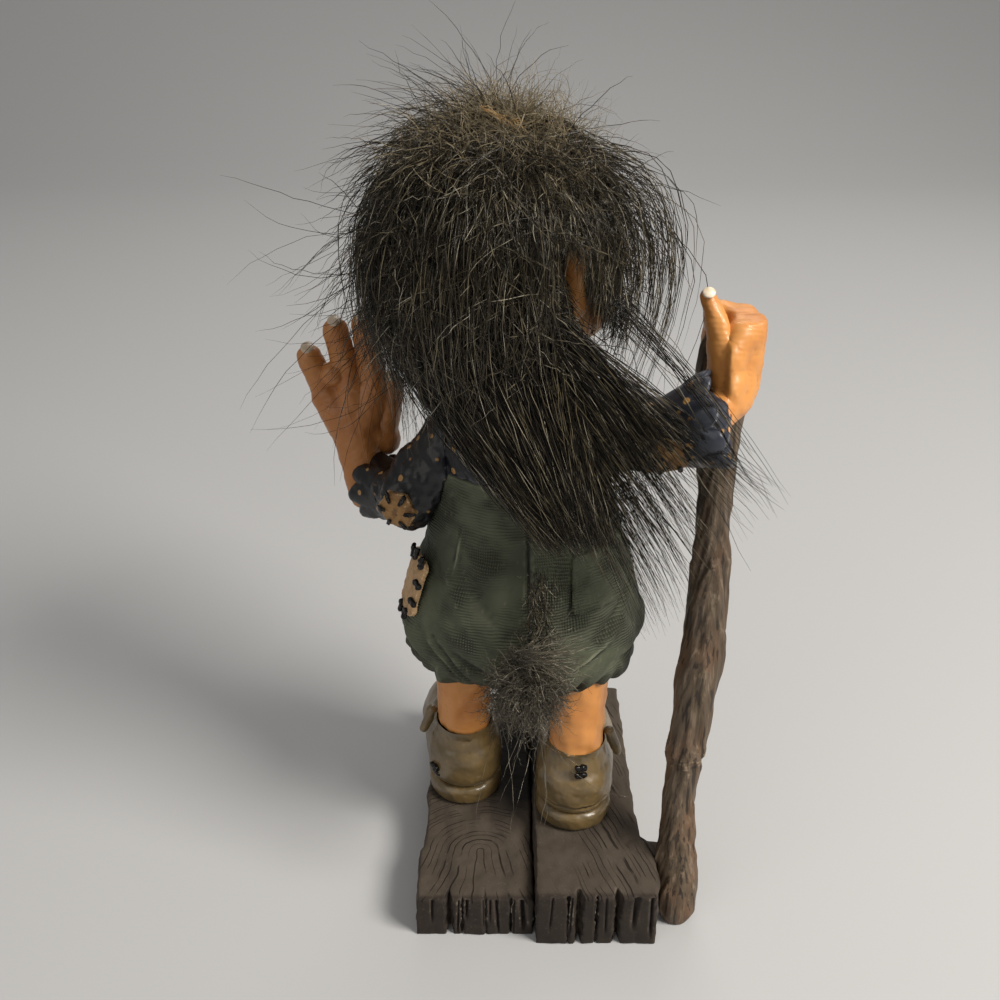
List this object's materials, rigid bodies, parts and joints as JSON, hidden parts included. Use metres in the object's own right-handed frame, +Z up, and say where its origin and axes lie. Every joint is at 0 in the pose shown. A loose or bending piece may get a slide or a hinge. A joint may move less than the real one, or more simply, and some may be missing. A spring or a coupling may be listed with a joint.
{
  "type": "troll figure ornament",
  "caption": "Standing folk troll ornament on a plank base, one hand raised, the other holding a walking staff, with a turning head under long hair and a hanging tail.",
  "frame": {"origin": "on the table, at the middle of the plank base's underside", "axes": "+Z up, +Y the way the figure stands facing, +X to the figure's right hand"},
  "size_m": [0.0769, 0.0595, 0.1433],
  "materials": {
    "plank_resin": "cast resin, painted dark grey-brown, matt",
    "staff_bark": "rough dark bark",
    "shoe_resin": "cast resin, painted olive brown, satin",
    "thread_black": "raised cast stitches, painted black, glossy",
    "skin": "cast resin, painted orange skin, satin",
    "trouser_green": "cast resin with a woven texture, painted dark green, matt",
    "patch_tan": "cast resin, painted tan",
    "shirt_navy": "cast resin, painted black-navy with tan dots, satin",
    "nail_ivory": "painted ivory",
    "eye_gloss": "gloss painted",
    "hair": "long coarse fur pelt, dark olive brown"
  },
  "bodies": {
    "figure": {"base_plank_left": "plank_resin", "base_plank_right": "plank_resin", "walking_staff": "staff_bark", "shoe_left": "shoe_resin", "shoe_right": "shoe_resin", "sole_left": "shoe_resin", "sole_right": "shoe_resin", "shoe_flap_left": "shoe_resin", "shoe_flap_right": "shoe_resin", "heel_stitches_left": "thread_black", "heel_stitches_right": "thread_black", "hip_patch_stitches": "thread_black", "elbow_stitches_left": "thread_black", "elbow_stitches_right": "thread_black", "leg_left": "skin", "leg_right": "skin", "hand_left": "skin", "hand_right": "skin", "trousers": "trouser_green", "back_pocket": "trouser_green", "hip_patch": "patch_tan", "elbow_patch_left": "patch_tan", "elbow_patch_right": "patch_tan", "shirt_torso": "shirt_navy", "sleeve_left": "shirt_navy", "sleeve_right": "shirt_navy", "cuff_left": "shirt_navy", "cuff_right": "shirt_navy", "fingernails_left": "nail_ivory", "thumbnail_right": "nail_ivory", "hair_back": "hair"},
    "head": {"head": "skin", "eye_left": "eye_gloss", "eye_right": "eye_gloss", "hair_cap": "hair"},
    "tail": {"tail_strip": "hair", "tail_tuft": "hair"}
  },
  "joints": [
    {"name": "head_turn", "type": "hinge", "parent": "figure", "child": "head", "pos_m": [-0.0055, 0.0015, 0.0983], "axis": [0, 0, 1], "range_deg": [-20, 90]},
    {"name": "tail_lift", "type": "hinge", "parent": "figure", "child": "tail", "pos_m": [0.0002, -0.0184, 0.0703], "axis": [-1, 0, 0], "range_deg": [0, 70]}
  ]
}
